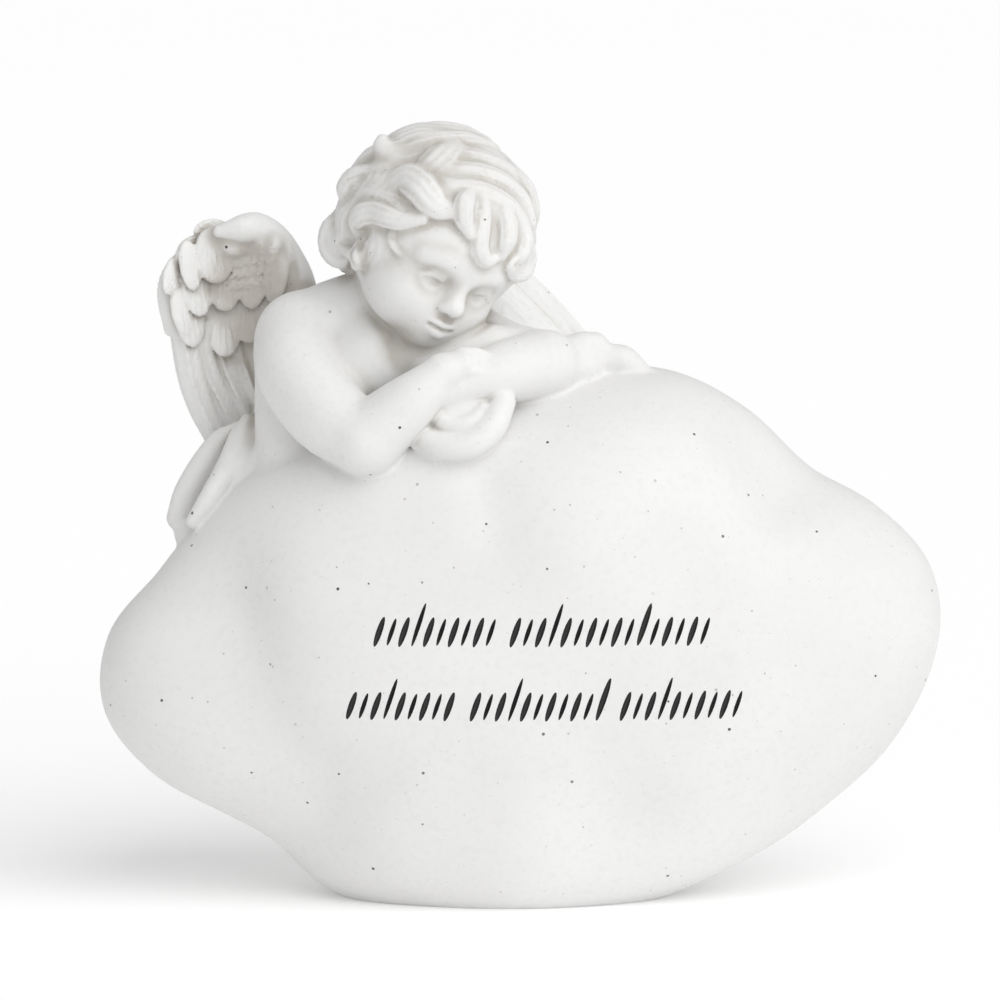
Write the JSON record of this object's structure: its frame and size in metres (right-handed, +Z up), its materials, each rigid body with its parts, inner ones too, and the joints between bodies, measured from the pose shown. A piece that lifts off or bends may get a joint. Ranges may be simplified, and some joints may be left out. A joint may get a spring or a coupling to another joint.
{
  "type": "grave ornament statue",
  "caption": "White cast-stone grave ornament: a winged cherub leaning on a smooth boulder, head resting on crossed arms, rows of engraved strokes on the front, flat foot below.",
  "frame": {"origin": "middle of the flat foot under the boulder, on the surface that the ornament stands on", "axes": "+X to the viewer's right along the boulder's length, +Y from the engraved front to the back, +Z up"},
  "size_m": [0.1407, 0.0639, 0.1309],
  "materials": {
    "cast_stone": "matt, white with fine grey specks"
  },
  "bodies": {
    "root": {"angel_on_boulder": "cast_stone"}
  },
  "joints": []
}
